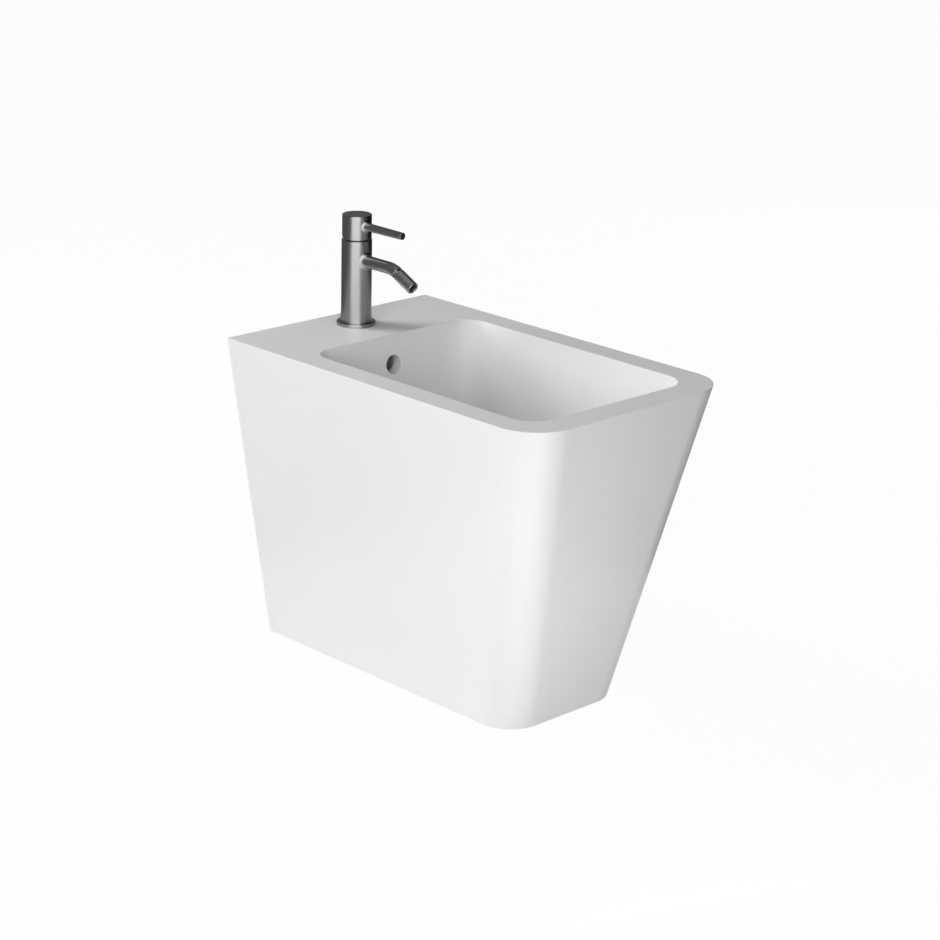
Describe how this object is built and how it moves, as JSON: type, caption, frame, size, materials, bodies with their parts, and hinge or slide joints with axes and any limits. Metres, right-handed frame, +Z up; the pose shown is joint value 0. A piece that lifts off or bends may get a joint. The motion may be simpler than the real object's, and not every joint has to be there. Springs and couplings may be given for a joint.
{
  "type": "floor standing bidet",
  "caption": "Tapered floor standing bidet with an oblong basin, overflow, single lever mixer with swivel nozzle, push plug waste, bottle trap and floor fixings.",
  "frame": {"origin": "on the floor, under the middle of the rim's plan", "axes": "+Z up, +Y towards the wall behind the bidet, the user sits at -Y, X from side to side"},
  "size_m": [0.345, 0.55, 0.5663],
  "materials": {
    "ceramic": "satin",
    "nylon": "matte",
    "zinc_steel": "satin",
    "satin_steel": "satin",
    "rubber": "matte",
    "brass": "satin",
    "disc_ceramic": "satin",
    "dark_plastic": "matte",
    "white_plastic": "satin",
    "chrome": "polished"
  },
  "bodies": {
    "fixture": {"ceramic_body": "ceramic", "fixing_bushes": "nylon", "fixing_washers": "zinc_steel", "tap_base_ring": "satin_steel", "tap_base_seal": "rubber", "tap_body": "satin_steel", "spout_tube": "satin_steel", "ball_stud": "zinc_steel", "cartridge_housing": "nylon", "cartridge_nut": "brass", "cartridge_seals": "rubber", "fixed_disc": "disc_ceramic", "fixing_stud": "zinc_steel", "horseshoe_gasket": "rubber", "horseshoe_washer": "zinc_steel", "fixing_nut": "brass", "waste_body": "chrome", "waste_upper_gasket": "rubber", "waste_lower_gasket": "rubber", "waste_backnut": "chrome", "plug_guide": "nylon", "inlet_washer": "rubber", "inlet_nut": "white_plastic", "inlet_tube": "white_plastic", "trap_body": "white_plastic", "trap_cup": "white_plastic", "cup_seal": "rubber", "trap_nut": "white_plastic", "trap_seal": "rubber", "outlet_nut": "white_plastic", "outlet_seal": "rubber", "outlet_tube": "white_plastic"},
    "cartridge_rotor": {"rotor": "dark_plastic", "pivot_pin": "zinc_steel"},
    "mixing_disc": {"moving_disc": "disc_ceramic"},
    "lever": {"stem": "zinc_steel", "handle_cap": "satin_steel", "lever_pin": "satin_steel"},
    "ball_liner": {"ball_seat": "dark_plastic"},
    "nozzle": {"nozzle_body": "satin_steel", "nozzle_seal": "rubber", "aerator_housing": "white_plastic", "aerator_insert": "white_plastic"},
    "plug": {"plug_cap": "chrome", "plug_seal": "rubber", "plug_stem": "zinc_steel"}
  },
  "joints": [
    {"name": "temperature_turn", "type": "hinge", "parent": "fixture", "child": "cartridge_rotor", "pos_m": [0, 0.222, 0.5319], "axis": [0, 0, 1], "range_deg": [-45, 45]},
    {"name": "lever_lift", "type": "hinge", "parent": "cartridge_rotor", "child": "lever", "pos_m": [0, 0.222, 0.5319], "axis": [-1, 0, 0], "range_deg": [0, 18]},
    {"name": "disc_slide", "type": "slide", "parent": "cartridge_rotor", "child": "mixing_disc", "axis": [0, -1, 0], "range_m": [0, 0.00192]},
    {"name": "nozzle_tilt", "type": "hinge", "parent": "fixture", "child": "ball_liner", "pos_m": [0, 0.13847, 0.5004], "axis": [1, 0, 0], "range_deg": [-10, 10]},
    {"name": "nozzle_swing", "type": "hinge", "parent": "ball_liner", "child": "nozzle", "pos_m": [0, 0.13847, 0.5004], "axis": [0, -0.4384, 0.8988], "range_deg": [-10, 10]},
    {"name": "plug_push", "type": "slide", "parent": "fixture", "child": "plug", "axis": [0, 0, -1], "range_m": [0, 0.0085]}
  ],
  "couplings": [
    {"joint": "disc_slide", "follows": "lever_lift", "m_per_rad": 0.0061}
  ]
}
